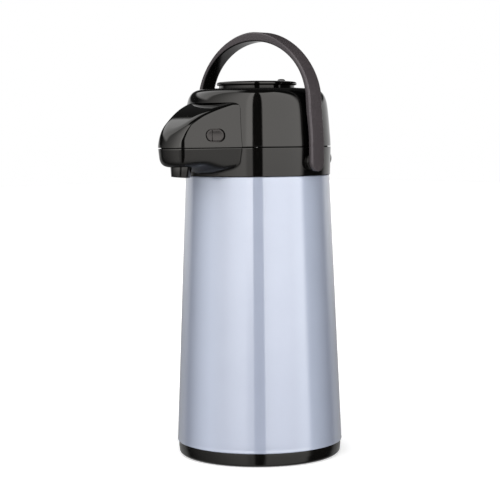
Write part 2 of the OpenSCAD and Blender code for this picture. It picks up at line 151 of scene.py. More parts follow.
# ------------------------------------------------------------------ materials
def plastic(name, base, warm, rough, rough_var, grain=0.0, depth=0.000012, ior=1.5, wear=0.25,
            tint=(1.0, 0.97, 0.93), matt_below=False, smooth_and_shaded_inside=False):
    """moulded plastic: drifting colour, clouded roughness, faint rub marks, lighter edges;
    depth (metres) and grain (mm) set the bump, wear the strength of the edges"""
    g, shader = material(name)
    coords = g.coords()
    cloud = g.noise(coords, scale=26.0, detail=4.0, rough=0.6)
    fine = g.noise(coords, scale=900.0, rough=0.55)
    speck = g.noise(coords, scale=3800.0, detail=2.0)
    colour = g.mix(g.ramp(cloud, at=(0.3, 0.7)), base, warm)
    pointiness = g.node("NewGeometry").outputs["Pointiness"]
    edge = g.mul(g.ramp(pointiness, at=(0.505, 0.56)), g.ramp(fine, at=(0.42, 0.62)))
    rubbed = [min(1, c * 3.2 + 0.02) for c in warm]
    colour = g.mix(g.mul(edge, wear), colour, rubbed)

    # long faint rub marks
    long_coords = g.stretch(coords, scale=(60, 60, 900), rotation=(0.3, 0.1, 0.4))
    rub = g.noise(long_coords, scale=6.0, rough=0.7)
    roughness = g.add(rough, g.swing(cloud, amount=rough_var))
    roughness = g.add(roughness, g.mul(g.ramp(rub, at=(0.58, 0.75)), rough_var * 0.25))
    roughness = g.add(roughness, g.swing(speck, amount=rough_var * 0.5))
    edge_matt = 0.10
    roughness = g.add(roughness, g.mul(edge, edge_matt), clamp=True)

    if smooth_and_shaded_inside:
        # faces turned towards the inside of the handle's bow are smoother and get painted shade,
        # a darker colour for the shade inside the bow;
        # above bow_z (metres) the upward part of the normal counts as well
        bow_z, rise_gain, side_gain, polish = 0.34, 15.0, 14.0, 0.15
        local = g.node("TexCoord")
        place_x, _, place_z = g.node("SeparateXYZ", {0: local.outputs["Object"]}).outputs
        normal_x, _, normal_z = g.node("SeparateXYZ", {0: local.outputs["Normal"]}).outputs
        rise = g.mul(g.math("MAXIMUM", g.sub(place_z, bow_z), 0.0), rise_gain)
        outward = g.add(g.mul(g.mul(normal_x, place_x), side_gain), g.mul(normal_z, rise))
        inside = g.ramp(outward, at=(-0.6, -0.2), to=(1.0, 0.0))
        # painted shade: the inward faces are darkened towards near black
        colour = g.mix(inside, colour, (0.0022, 0.0020, 0.0020))
        roughness = g.sub(roughness, g.mul(inside, polish))

    if matt_below:
        # undersides are duller
        down_matt, down_specular = 0.30, 0.33
        normal = g.node("NewGeometry").outputs["Normal"]
        normal_z = g.node("SeparateXYZ", {0: normal}).outputs[2]
        down = g.ramp(normal_z, at=(-0.75, -0.30), to=(1.0, 0.0))
        roughness = g.add(roughness, g.mul(down, down_matt), clamp=True)
        g.fill(shader, {"Specular IOR Level": g.sub(0.5, g.mul(down, down_specular))})

    grain_noise = g.noise(coords, scale=2600.0, detail=2.0)
    wave = g.noise(coords, scale=42.0, detail=2.0, rough=0.4)
    wave_height = 0.6 if grain == 0 else 0.2
    height = g.add(grain_noise, g.mul(wave, wave_height))
    g.fill(shader, {"Base Color": colour, "Roughness": roughness, "IOR": ior,
                    "Specular Tint": (*tint, 1), "Coat Roughness": 0.04,
                    "Normal": g.bump(height, distance=depth + grain * MM)})


def sleeve_paint(name):
    """satin ice-blue metallic paint: fine flake, faint upright draw lines, clear top coat, with
    painted shade towards the foot and the edges and a painted sheen between
    """
    g, shader = material(name)
    coords = g.coords()
    z = g.node("SeparateXYZ", {0: coords}).outputs[2]
    cloud = g.noise(coords, scale=18.0)
    lines = g.noise(g.stretch(coords, scale=(1, 1, 0.035)), scale=1500.0, detail=4.0, rough=0.65)
    cells = g.node("TexVoronoi", {"Vector": coords, "Scale": 3600.0}).outputs["Color"]
    flake = g.node("SeparateColor", {0: cells}).outputs[0]

    colour = g.mix(g.ramp(cloud, at=(0.3, 0.7)), (0.334, 0.370, 0.465), (0.349, 0.385, 0.480))
    flake_mix = g.ramp(flake, at=(0.0, 1.0), to=(0.0, 0.18), smooth=False)
    colour = g.mix(flake_mix, colour, (0.42, 0.45, 0.55))
    # painted shade: the colour darkens towards the foot; heights in metres
    low, foot_shade_share = g.ramp(z, at=(0.0, 0.27), to=(1.0, 0.0), smooth=False), 0.25
    colour = g.mix(g.mul(low, foot_shade_share), colour, (0.27, 0.297, 0.39))
    # painted sheen: the colour is lightened where the face turns partly away from the eye, then
    # eases off again
    facing = g.node("LayerWeight", {"Blend": 0.5}).outputs["Facing"]
    painted_sheen = g.mul(g.ramp(facing, at=(0.09, 0.24)), g.ramp(facing, at=(0.28, 0.58), to=(1.0, 0.0)))
    painted_sheen_share = 0.33
    colour = g.mix(g.mul(painted_sheen, painted_sheen_share), colour, (0.62, 0.69, 0.84))
    # painted shade: the colour darkens towards the silhouette
    colour = g.mix(g.ramp(facing, at=(0.40, 0.64), to=(0.0, 0.17)), colour, (0.16, 0.18, 0.24))

    base_rough, line_height, flake_height = 0.34, 1.0, 0.35
    roughness = g.add(base_rough, g.swing(lines, amount=0.06))
    roughness = g.add(roughness, g.swing(cloud, amount=0.04), clamp=True)
    height = g.add(g.mul(lines, line_height), g.mul(flake, flake_height))
    g.fill(shader, {"Base Color": colour, "Metallic": 0.20, "Roughness": roughness,
                    "Coat Weight": 1.0, "Coat IOR": 1.88, "Coat Roughness": 0.03,
                    "Normal": g.bump(height, distance=0.000010)})


def metal(name, base, rough):
    """brushed metal"""
    g, shader = material(name)
    coords = g.coords()
    brush = g.noise(g.stretch(coords, scale=(40, 40, 1200)), scale=4.0, detail=4.0, rough=0.7)
    cloud = g.noise(coords, scale=120.0, rough=0.6)
    dark = [c * 0.86 for c in base]
    g.fill(shader, {"Base Color": g.mix(g.ramp(cloud, at=(0.3, 0.7)), dark, base),
                    "Metallic": 1.0,
                    "Roughness": g.add(rough, g.swing(brush, amount=0.25), clamp=True),
                    "Normal": g.bump(brush, distance=0.00002)})


def soft(name, base, rough, scale, scatter=0.0):
    """rubber, silicone or unpainted plastic; scale is that of the fine surface noise"""
    g, shader = material(name)
    coords = g.coords()
    cloud = g.noise(coords, scale=60.0, detail=4.0, rough=0.6)
    fine = g.noise(coords, scale=scale, rough=0.6)
    dark = [c * 0.88 for c in base]
    g.fill(shader, {"Base Color": g.mix(g.ramp(cloud, at=(0.3, 0.7)), dark, base),
                    "Roughness": g.add(rough, g.swing(fine, amount=0.2), clamp=True),
                    "Normal": g.bump(fine, distance=0.00004)})
    if scatter:
        g.fill(shader, {"Subsurface Weight": scatter, "Subsurface Scale": 0.6,
                        "Subsurface Radius": (0.004, 0.003, 0.002)})


def silvered_glass(name):
    g, shader = material(name)
    cloud = g.noise(g.coords(), scale=40.0, rough=0.6)
    colour = g.mix(g.ramp(cloud, at=(0.35, 0.65)), (0.70, 0.73, 0.76), (0.80, 0.82, 0.84))
    base_rough, cloud_rough = 0.05, 0.06
    g.fill(shader, {"Base Color": colour, "Metallic": 0.9,
                    "Roughness": g.add(base_rough, g.mul(cloud, cloud_rough), clamp=True)})


plastic("head_plastic", base=(0.0012, 0.0013, 0.0012), warm=(0.0020, 0.0018, 0.0016),
        rough=0.045, rough_var=0.05, ior=1.52, wear=0.10, depth=0.000005, matt_below=True)
plastic("handle_plastic", base=(0.0470, 0.0405, 0.0430), warm=(0.0520, 0.0445, 0.0470),
        rough=0.27, rough_var=0.05, grain=0.0001, ior=1.52, wear=0.16,
        tint=(1.0, 0.94, 0.97), smooth_and_shaded_inside=True)
plastic("lip_plastic", base=(0.0012, 0.0012, 0.0012), warm=(0.0016, 0.0015, 0.0014),
        rough=0.75, rough_var=0.1, ior=1.25, wear=0.0)
plastic("base_plastic", base=(0.0020, 0.0020, 0.0018), warm=(0.0030, 0.0027, 0.0024),
        rough=0.09, rough_var=0.06, wear=0.15)
plastic("latch_plastic", base=(0.0060, 0.0056, 0.0054), warm=(0.0080, 0.0073, 0.0070),
        rough=0.20, rough_var=0.06, grain=0.0012, wear=0.2, tint=(1.0, 0.93, 0.90))
plastic("inner_plastic", base=(0.010, 0.010, 0.0095), warm=(0.014, 0.013, 0.012),
        rough=0.38, rough_var=0.10, grain=0.004, ior=1.48, wear=0.15)
soft("natural_plastic", base=(0.72, 0.72, 0.68), rough=0.38, scale=500.0, scatter=0.25)
soft("seal_silicone", base=(0.62, 0.61, 0.57), rough=0.5, scale=420.0, scatter=0.3)
soft("bellows_rubber", base=(0.16, 0.16, 0.155), rough=0.55, scale=500.0)
soft("rubber_black", base=(0.018, 0.018, 0.018), rough=0.7, scale=900.0)
sleeve_paint("sleeve_paint")
metal("steel", base=(0.62, 0.62, 0.61), rough=0.28)
silvered_glass("liner_glass")
HEAD, LATCH = MAT["head_plastic"], MAT["latch_plastic"]

slot_of = {s["node"]: s["material_slot"] for s in frame["record"]["subparts"]}
for node_name, node_object in frame["nodes"].items():
    node_object.data.materials.clear()
    node_object.data.materials.append(MAT[slot_of[node_name]])


# ------------------------------------------------------------------ mesh tools
def shade(obj, angle):
    """smooth shading, sharp where faces meet at more than the angle in degrees"""
    obj.data.shade_smooth()
    obj.data.set_sharp_from_angle(angle=math.radians(angle))


def make(name, points, faces, mat, angle=30.0):
    """an object in metres from points in millimetres"""
    mesh = bpy.data.meshes.new(name)
    mesh.from_pydata((np.reshape(points, (-1, 3)) * MM).tolist(), [], faces)
    bm = bmesh.new()
    bm.from_mesh(mesh)
    bmesh.ops.remove_doubles(bm, verts=bm.verts, dist=1e-6)
    bmesh.ops.dissolve_degenerate(bm, edges=bm.edges, dist=1e-7)
    bmesh.ops.recalc_face_normals(bm, faces=bm.faces)
    bm.to_mesh(mesh)
    bm.free()
    obj = bpy.data.objects.new(name, mesh)
    coll.objects.link(obj)
    mesh.materials.append(mat)
    shade(obj, angle)
    return obj


def grid_faces(rows, cols, wrap_rows=False, wrap_cols=False, offset=0):
    faces = []
    for i in range(rows if wrap_rows else rows - 1):
        here, there = offset + i * cols, offset + (i + 1) % rows * cols
        for j in range(cols if wrap_cols else cols - 1):
            k = (j + 1) % cols
            faces.append((here + j, there + j, there + k, here + k))
    return faces


def tube_faces(rings, size):
    """bands between closed rings, then the first and the last end cap"""
    faces = []
    for i in range(rings - 1):
        here, there = i * size, (i + 1) * size
        for j in range(size):
            k = (j + 1) % size
            faces.append((here + j, here + k, there + k, there + j))
    last = (rings - 1) * size
    return faces + [tuple(range(size))[::-1], tuple(range(last, last + size))]


def modify(obj, kind, **settings):
    """adds one modifier and applies it"""
    modifier = obj.modifiers.new("step", kind)
    for name, value in settings.items():
        setattr(modifier, name, value)
    graph = bpy.context.evaluated_depsgraph_get()
    mesh = bpy.data.meshes.new_from_object(obj.evaluated_get(graph))
    old = obj.data
    obj.modifiers.clear()
    obj.data = mesh
    bpy.data.meshes.remove(old)


def solidify(obj, wall):
    modify(obj, "SOLIDIFY", thickness=wall * MM, offset=-1.0, use_even_offset=True,
           use_quality_normals=True)
    shade(obj, 35)


def bevel(obj, width, limit):
    """rounds the edges sharper than the limit in degrees"""
    modify(obj, "BEVEL", width=width * MM, segments=2, limit_method="ANGLE",
           angle_limit=math.radians(limit), miter_outer="MITER_ARC")
    shade(obj, 35)


def cut(obj, cutter):
    modify(obj, "BOOLEAN", operation="DIFFERENCE", solver="EXACT", object=cutter)
    bpy.data.objects.remove(cutter)


def join(name, objects):
    """several closed shells kept as one piece"""
    bm = bmesh.new()
    mats = []
    for obj in objects:
        for mat in obj.data.materials:
            if mat not in mats:
                mats.append(mat)
        index = [mats.index(mat) for mat in obj.data.materials]
        first = len(bm.faces)
        bm.from_mesh(obj.data)
        bm.faces.ensure_lookup_table()
        for face in bm.faces[first:]:
            face.material_index = index[min(face.material_index, len(index) - 1)]
    mesh = bpy.data.meshes.new(name)
    bm.to_mesh(mesh)
    bm.free()
    for mat in mats:
        mesh.materials.append(mat)
    for obj in objects:
        bpy.data.objects.remove(obj)
    joined = bpy.data.objects.new(name, mesh)
    coll.objects.link(joined)
    return joined


def place(piece, body, slot, *nodes):
    """tells the frame what the piece moves with and hides the pieces it stands in for; slot is
    not used
    """
    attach(piece, body)
    if nodes:
        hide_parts(*nodes)


# ------------------------------------------------------------------ curve tools
def lengths(points):
    """running length along a line of points"""
    return np.r_[0, np.cumsum(np.linalg.norm(np.diff(points, axis=0), axis=1))]


def interp_columns(at, known, points):
    return np.stack([np.interp(at, known, column) for column in points.T], 1)


def resample(points, count):
    run = lengths(points)
    return interp_columns(np.linspace(0, run[-1], count), run, points)


def catmull(points, count):
    """centripetal curve through the points, evenly spaced by length"""
    def between(a, b, t, start, end):
        return (end - t) / (end - start) * a + (t - start) / (end - start) * b

    P = np.asarray(points, float)
    P = np.vstack([2 * P[0] - P[1], P, 2 * P[-1] - P[-2]])
    curve = []
    for i in range(len(P) - 3):
        four = P[i:i + 4]
        knots = [0.0]
        for a, b in zip(four, four[1:]):
            knots.append(knots[-1] + np.linalg.norm(b - a) ** 0.5)
        for t in np.linspace(knots[1], knots[2], 24, endpoint=False):
            three = [between(four[k], four[k + 1], t, knots[k], knots[k + 1]) for k in range(3)]
            two = [between(three[k], three[k + 1], t, knots[k], knots[k + 2]) for k in range(2)]
            curve.append(between(*two, t, knots[1], knots[2]))
    curve.append(P[-2])
    return resample(np.array(curve), count)


def round_corners(rows, steps):
    """closed outline from rows of radius, height, corner radius"""
    rows = np.asarray(rows, float)
    P = rows[:, :2]
    out = []
    for i, corner in enumerate(P):
        before, after = P[i - 1] - corner, P[(i + 1) % len(P)] - corner
        len_before, len_after = np.linalg.norm(before), np.linalg.norm(after)
        u, v = before / len_before, after / len_after
        angle = math.acos(float(u @ v))
        reach = min(rows[i, 2] / math.tan(angle / 2), 0.48 * len_before, 0.48 * len_after)
        start, end = corner + u * reach, corner + v * reach
        for k in range(steps + 1):
            w = k / steps
            out.append((1 - w) ** 2 * start + 2 * w * (1 - w) * corner + w * w * end)
    return np.array(out)


def blur(points, passes):
    """evens out a line of points, ends fixed"""
    P = points.copy()
    for _ in range(passes):
        P[1:-1] = (P[:-2] + 2 * P[1:-1] + P[2:]) / 4
    return P


def ease(u):
    """smooth step from 0 to 1"""
    u = np.clip(u, 0, 1)
    return u * u * (3 - 2 * u)


def bisect(inside, low, high, steps):
    """the distances, between low (inside) and high (outside), where inside() turns false"""
    for _ in range(steps):
        middle = (low + high) / 2
        hit = inside(middle)
        low, high = np.where(hit, middle, low), np.where(hit, high, middle)
    return low


# ------------------------------------------------------------------ simple solids
def revolve(name, outline, mat, segments, centre=(0, 0, 0), closed=True, angle=30.0,
            along_x=False):
    """an outline of (radius, height) turned about Z, or laid along X"""
    P = np.asarray(outline, float)
    turn = np.linspace(0, 2 * math.pi, segments, endpoint=False)
    points = np.stack([np.outer(np.cos(turn), P[:, 0]), np.outer(np.sin(turn), P[:, 0]),
                       np.tile(P[:, 1], (segments, 1))], -1)
    if along_x:
        points = points[..., [2, 1, 0]] * (1, 1, -1)
    faces = grid_faces(segments, len(P), True, closed)
    return make(name, points + np.array(centre), faces, mat, angle)


def drum(x0, x1, radius, y, z, chamfer, bore, segments=56):
    """bored cylinder lying along X with eased edges"""
    soft_r = chamfer * 0.5
    rows = [(bore, x0, 0.1), (radius - chamfer, x0, soft_r), (radius, x0 + chamfer, soft_r),
            (radius, x1 - chamfer, soft_r), (radius - chamfer, x1, soft_r), (bore, x1, 0.1)]
    return revolve("drum", round_corners(rows, 2), HEAD, segments, (0, y, z), along_x=True)


def slab(low, high, edge, mat=HEAD):
    """box between two corners with rounded edges"""
    (x0, y0, z0), (x1, y1, z1) = low, high
    points = [(x, y, z) for z in (z0, z1) for x, y in ((x0, y0), (x1, y0), (x1, y1), (x0, y1))]
    faces = [(0, 3, 2, 1), (4, 5, 6, 7), (0, 1, 5, 4), (1, 2, 6, 5), (2, 3, 7, 6), (3, 0, 4, 7)]
    obj = make("slab", points, faces, mat)
    bevel(obj, edge, limit=30)
    return obj


# ------------------------------------------------------------------ spout shape
# The spout's parts are fields: functions of x, y, z that are negative inside.
FACE_X, FACE_Y = math.cos(SPOUT_TURN), -math.sin(SPOUT_TURN)   # normal of the +X side face

# ridge line of the spout in the plane x = 0: y, z, from the lid to the tip
BEAK = catmull([
    (-50, 339.5), (-56, 339.7), (-62, 339.3), (-70, 337.1), (-80, 333.8), (-90, 329.5),
    (-99, 324.3), (-106, 319.5), (-112, 314.8), (-116.5, 310.5), (-120.5, 304.5),
    (-122.5, 299)], 1500)[::-1]
BEAK_SLOPE = np.gradient(BEAK[:, 1], BEAK[:, 0])


def smooth_max(a, b, width):
    h = np.maximum(width - np.abs(a - b), 0) / width
    return np.maximum(a, b) + h * h * width * 0.25


def smooth_min(a, b, width):
    return -smooth_max(-a, -b, width)


def plan_field(x, y):
    """distance outside the spout's plan: two straight sides and a round nose"""
    across, behind = np.abs(x), y - NOSE_Y
    forward = -across * math.sin(SPOUT_TURN) - behind * math.cos(SPOUT_TURN)
    side = across * FACE_X + behind * FACE_Y
    return np.where(forward > 0, np.hypot(across, behind), side) - NOSE_R


def side_field(x, y, z):
    """distance outside the spout's side faces, which lean in towards the top"""
    return plan_field(x, y) + (0.10 + 0.05 * ease((-y - 75) / 35)) * np.maximum(z - 300, 0)


def beak_field(x, y, z):
    """the spout cover: side faces blended into the slightly crowned ridge"""
    steepest = 3.0
    beyond = np.maximum(BEAK[0, 0] - y, 0)
    top = np.interp(y, BEAK[:, 0], BEAK[:, 1]) - beyond * steepest - 0.0006 * x * x
    slope = np.interp(y, BEAK[:, 0], BEAK_SLOPE)
    slope = np.minimum(np.where(beyond > 0, steepest, slope), steepest)
    above = (z - top) / np.sqrt(1 + slope * slope)
    return smooth_max(side_field(x, y, z), above, 5.5 + 2.0 * ease((-y - 66) / 26))


def chin_field(x, y, z):
    """the part under the spout: a shallow hull that drops towards the collar"""
    sides = plan_field(x, y) + 0.11 * (PART_Z - z)
    under = 280.0 - 6.4 * ease((y + 93) / 23) + 0.0052 * x * x * ease((y + 118) / 25)
    hull = smooth_max(sides, under - z, 5.0 + 4.0 * ease((-y - 88) / 20))
    return np.maximum(hull, y + 30.0)


def collar_field(x, y, z):
    radius = 70.0 + 0.9 * (z - COLLAR_Z) / (PART_Z - COLLAR_Z)
    return smooth_min(np.hypot(x, y) - radius, chin_field(x, y, z), 0.9)


def plan_ring(angles, level=0.0, near=0.0, steps=30):
    """points of the spout's plan at a level of its field; angles run from -Y towards +X"""
    reach = bisect(lambda m: plan_field(np.sin(angles) * m, -np.cos(angles) * m) < level,
                   near, 140.0, steps)
    return np.stack([np.sin(angles) * reach, -np.cos(angles) * reach], 1)


def spout_angles(limit, count):
    """plan angles within the limit in degrees, evenly spaced along the spout's outline"""
    limit = math.radians(limit)
    angles = np.linspace(-limit, limit, 1601)
    run = lengths(plan_ring(angles))
    return np.interp(np.linspace(0, run[-1], count), run, angles)


def field_shell(name, field, turns, start, tilts, far, count, keep, wall, wrap=False):
    """a shell whose outer skin is met by rays from start (radius, height): one outline per
    turn, one ray per tilt; keep(r, z) says how far each outline runs"""
    turn, tilt = np.meshgrid(turns, tilts, indexing="ij")
    ray_x, ray_y = np.sin(turn), -np.cos(turn)

    def point(m):
        return start[0] + m * np.cos(tilt), start[1] + m * np.sin(tilt)

    def inside(m):
        r, z = point(m)
        return field(ray_x * r, ray_y * r, z) < 0

    radii, heights = point(bisect(inside, 0.0, far, 30))
    points = np.zeros((len(turns), count, 3))
    for i, angle in enumerate(turns):
        r, z = radii[i], heights[i]
        kept = keep(r, z)
        end = len(r) if kept.all() else max(3, int(np.argmin(kept)))
        outline = resample(np.stack([r[:end], z[:end]], 1), count)
        points[i, :, 0] = math.sin(angle) * outline[:, 0]
        points[i, :, 1] = -math.cos(angle) * outline[:, 0]
        points[i, :, 2] = outline[:, 1]
    shell = make(name, points, grid_faces(len(turns), count, wrap), HEAD, 180)
    solidify(shell, wall)
    return shell


# ------------------------------------------------------------------ base ring and sleeve
def build_base_ring():
    rows = [  # radius, height, corner radius
        (67.3, 5.5, 0.3), (67.3, 0.65, 0.4), (75.9, 0.65, 1.6), (78.2, 2.7, 2.2),
        (78.85, 8.0, 3.0), (79.0, 13.4, 0.5), (77.6, 13.4, 0.3), (77.2, 26, 0.4),
        (75.2, 26, 0.4), (75.2, 11, 2), (72, 8, 2), (9.3, 8, 0.3), (9.3, 5.5, 0.3)]
    ring = revolve("base_ring", round_corners(rows, 6), MAT["base_plastic"], 256)
    place(ring, "pot", "base_plastic", "base_cap")


def build_sleeve():
    def radius(z):
        share = (SLEEVE_TOP_R - SLEEVE_FOOT_R) * (z - SLEEVE_Z) / (COLLAR_Z - SLEEVE_Z)
        return SLEEVE_FOOT_R + share

    # radius, height: up the outside, in over the top, down the inside
    outline = [(78.3, 13.52), (79.4, 13.52), (79.95, 13.75), (80.05, 14.3), (80.02, 15.0),
               (79.86, 15.8), (79.80, 17.0)]
    outline += [(radius(z), z) for z in np.linspace(18.5, 268.6, 60)]
    outline += [(69.25, 269.6), (69.0, 270.2), (68.5, 270.42), (66.5, 270.45), (63.0, 270.45),
                (63.0, 269.65), (66.5, 269.65), (68.2, 269.0)]
    outline += [(radius(z) - SLEEVE_WALL, z) for z in np.linspace(266, 19, 20)]
    outline += [(79.2, 14.6), (78.3, 14.3)]
    sleeve = revolve("sleeve", outline, MAT["sleeve_paint"], 320, angle=50)
    place(sleeve, "pot", "sleeve_paint", "body_sleeve")


# ------------------------------------------------------------------ collar with the chin
LIP_LOW, LIP_TOP = 291.5, 300.2


def collar_shell_and_lip():
    spout = spout_angles(46, 181)
    rest = np.linspace(spout[-1], 2 * math.pi + spout[0], 190)[1:-1]
    tilts = -np.radians(np.concatenate([
        np.linspace(0, 14, 60), np.linspace(14.1, 40, 130), np.linspace(40.2, 53.9, 60)]))
    shell = field_shell("collar_shell", collar_field, np.r_[spout, rest], (50.0, PART_Z - 0.3),
                        tilts, far=90.0, count=46, keep=lambda r, z: z > COLLAR_Z + 0.02,
                        wall=2.3, wrap=True)
    bevel(shell, 0.28, limit=50)
    # locating lip inside the parting line, cleared where the spout cover comes down
    lip = revolve("lip", [(66.8, LIP_LOW), (68.8, LIP_LOW), (68.8, 294.0), (67.7, 294.3),
                          (67.7, LIP_TOP), (66.8, LIP_TOP)], MAT["lip_plastic"], 200)
    cut(lip, slab((-48, -80, 297.3), (48, -44, 304), 0.1))
    # notches for the lid's knuckles
    for side in (-1, 1):
        x0, x1 = sorted((side * 13.9, side * 27.5))
        for piece in (shell, lip):
            cut(piece, slab((x0, 58.0, HINGE_Z - HINGE_R - 0.6), (x1, 82.0, 303.0), 0.5))
    shade(shell, 35)
    return [shell, lip]


def nose_lip():
    """the lip's continuation round the nose"""
    angles = np.radians(np.linspace(-13, 13, 41))
    outer, inner = (plan_ring(angles, level, near=60.0, steps=40) for level in (-2.75, -3.7))
    section = [(outer, LIP_LOW), (outer, LIP_TOP), (inner, LIP_TOP), (inner, LIP_LOW)]
    points = [(*line[i], z) for i in range(len(angles)) for line, z in section]
    return make("nose_lip", points, tube_faces(len(angles), 4), MAT["lip_plastic"], 40)


def collar_deck():
    """flat ring round the mouth of the liner"""
    outline = [(30.6, 266.1), (62.8, 266.1), (62.8, 270.5), (68.4, 270.55), (68.3, 273.2),
               (60.2, 273.2), (60.2, 268.6), (30.6, 268.6)]
    rows = [(r, z, 0.5) for r, z in outline]
    return revolve("deck", round_corners(rows, 3), MAT["inner_plastic"], 160)


def pivot_boss(side):
    boss = drum(67.0, 73.1, 8.4, PIVOT_Y, PIVOT_Z, chamfer=0.8, bore=3.02, segments=72)
    if side < 0:
        boss.data.transform(Matrix.Scale(-1, 4, (1, 0, 0)))
        boss.data.flip_normals()
    return boss


def build_collar():
    half = 13.8   # half the width of the middle hinge knuckle
    parts = collar_shell_and_lip() + [
        nose_lip(), collar_deck(),
        drum(-half, half, HINGE_R, HINGE_Y, HINGE_Z, chamfer=0.7, bore=2.05),
        slab((-half, 66.0, HINGE_Z - HINGE_R + 0.5),
             (half, HINGE_Y - 0.5, HINGE_Z + HINGE_R - 0.5), 0.6),
        pivot_boss(-1), pivot_boss(1)]
    place(join("collar_and_chin", parts), "pot", "head_plastic", "collar")


def build_nozzle():
    """short pipe under the nose, leaning a little forward"""
    rows = [  # radius, height, corner radius
        (4.6, 284, 0.2), (4.6, 274.2, 0.2), (7.0, 274.2, 0.5), (7.1, 270.6, 0.5),
        (8.7, 270.6, 0.8), (10.05, 280.4, 0.5), (7.2, 280.6, 0.2), (7.2, 284, 0.3)]
    nozzle = revolve("nozzle_tip", round_corners(rows, 4), HEAD, 96)
    turn_centre = Vector((0, 0, 280 * MM))
    nozzle.data.transform(Matrix.Translation(Vector((0, (NOSE_Y - 3.1) * MM, 0)))
                          @ Matrix.Translation(turn_centre)
                          @ Matrix.Rotation(math.radians(-5.5), 4, "X")
                          @ Matrix.Translation(-turn_centre))
    place(nozzle, "pot", "head_plastic", "nozzle")


# ------------------------------------------------------------------ spout cover and latches
FACE_NORMAL = np.array([FACE_X, FACE_Y, 0.0])
FACE_ALONG = np.array([math.sin(SPOUT_TURN), math.cos(SPOUT_TURN), 0.0])   # towards +Y
LATCH_CENTRE = np.array([39.0, -58.0, 309.0]) - 27.1 * FACE_ALONG


def face_point(outward, along, up, side):
    """a point placed from the latch centre in the spout's side face, +X or -X side"""
    x, y, z = LATCH_CENTRE + FACE_NORMAL * outward + FACE_ALONG * along
    return (x * side, y, z + up)


def oval_block(length, height, low, high, side, mat=HEAD, rounding=0.0, dish=0.0):
    """oval block in a side face between two outward distances, its front rounded and dished"""
    r = height / 2
    half = length / 2 - r
    arc = np.linspace(-math.pi / 2, math.pi / 2, 28)
    ring = np.concatenate([np.stack([half + r * np.cos(arc), r * np.sin(arc)], 1),
                           np.stack([-half - r * np.cos(arc), -r * np.sin(arc)], 1)])
    if rounding > 0:
        levels = [(low, 1.0), (high - rounding, 1.0)]
        levels += [(high - rounding + rounding * math.sin(t),
                    1.0 - (rounding / r) * (1 - math.cos(t)))
                   for t in np.linspace(0.3, math.pi / 2, 4)]
    else:
        levels = [(low, 1.0), (high, 1.0)]
    # outward distance, share of the end radius, shrink towards the middle line
    top, top_share = levels[-1]
    rings = [(outward, share, 1.0) for outward, share in levels]
    rings += [(top - dish * (1 - q * q), top_share, q) for q in (0.75, 0.5, 0.25)]
    points = []
    for outward, share, shrink in rings:
        for u, v in ring:
            end_u = math.copysign(max(abs(u) - half, 0), u)
            reach = math.hypot(end_u, v)
            scale = (reach - r * (1 - share)) / reach * shrink
            along = (u - end_u) * (0.6 + 0.4 * shrink) + end_u * scale
            points.append(face_point(outward, along, v * scale, side))
    # the back cap is listed between the side bands and the front bands
    *bands, back, front = tube_faces(len(rings), len(ring))
    split = (len(levels) - 1) * len(ring)
    faces = bands[:split] + [back] + bands[split:] + [front]
    return make("oval", points, faces, mat, 40)


def groove_cutter(side):
    """tall narrow oval for the upright groove in front of the latch's middle"""
    r, half, shift = 0.45, 7.0 - 0.45, -3.1
    arc = np.linspace(0, math.pi, 8)
    ring = np.concatenate([np.stack([r * np.cos(arc), half + r * np.sin(arc)], 1),
                           np.stack([-r * np.cos(arc), -half - r * np.sin(arc)], 1)])
    points = [face_point(outward, u + shift, v, side) for outward in (-2.4, 1.0) for u, v in ring]
    return make("groove", points, tube_faces(2, len(ring)), LATCH, 40)


def build_spout_cover():
    tilts = np.radians(np.concatenate([np.linspace(0, 30, 90), np.linspace(30.3, 86, 130)]))
    cover = field_shell("cover_a", beak_field, spout_angles(36.5, 201), (58.0, PART_Z + 0.6),
                        tilts, far=95.0, count=90, keep=lambda r, z: r > 66.0, wall=2.2)
    for side in (-1, 1):
        cut(cover, oval_block(19.6, 12.6, -9, 4, side))
    shade(cover, 35)
    place(cover, "lid", "head_plastic", "spout_cover")


def build_latch(side, word):
    pad = oval_block(17.7, 10.7, -4.2, -1.35, side, LATCH, rounding=0.7, dish=0.5)
    flange = oval_block(21.9, 14.9, -4.6, -3.5, side, LATCH)
    cut(pad, groove_cutter(side))
    shade(pad, 35)
    place(join("latch_" + word, [pad, flange]), "latch_" + word, "latch_plastic",
          "latch_button_" + word)


# ------------------------------------------------------------------ lid
LID_WALL = 2.3
# radius, height: up the dome
LID_DOME = [
    (70.7, LID_Z), (70.6, 302), (70.4, 306), (70.0, 311), (69.5, 318), (68.8, 326),
    (68.1, 333), (67.3, 338.5), (66.6, 341.5), (65.6, 344.3), (64.3, 346.8), (62.6, 349.0),
    (60.6, 350.55), (58.3, 351.65), (55.8, 352.3), (53, 352.7), (49, 353.05)]
# radius, height: over the rim and down the button well
LID_WELL = np.array([
    (45, 353.3), (41.6, 353.48), (40.3, 353.4), (39.5, 352.9), (39.15, 352.1), (39.1, 351.0),
    (39.1, 345), (39.1, 336)])
# the spout opening is laid out flat: arc length at OPEN_R, and height about OPEN_Z
OPEN_R, OPEN_Z = 68.0, 310
OPEN_GAP = 0.42   # clearance round the spout cover

lid_curve = np.vstack([catmull(LID_DOME, 1200), resample(LID_WELL, 200)])
lid_run = lengths(lid_curve)


def spout_opening(count):
    """right half of the opening's edge (arc length, height), from its foot to the middle"""
    t = np.linspace(math.atan2(-12.2, 39.4), math.pi / 2, 500)

    def inside(m):
        turn, z = m * np.cos(t) / OPEN_R, OPEN_Z + m * np.sin(t)
        r = np.interp(z, lid_curve[:900, 1], lid_curve[:900, 0])
        sides = side_field(r * np.sin(turn), -r * np.cos(turn), z) - OPEN_GAP
        return smooth_max(sides, z - 339.2, 6.0) < 0

    reach = bisect(inside, 4.0, 62.0, 40)
    P = np.stack([reach * np.cos(t), OPEN_Z + reach * np.sin(t)], 1)
    P = blur(resample(P, count), 6)
    # keep the upright side leaning inwards so that the rows above it do not fold
    P[:, 0] = np.minimum.accumulate(P[:, 0] - 1e-3 * np.arange(count))
    P[-1, 0] = 0.0
    return P


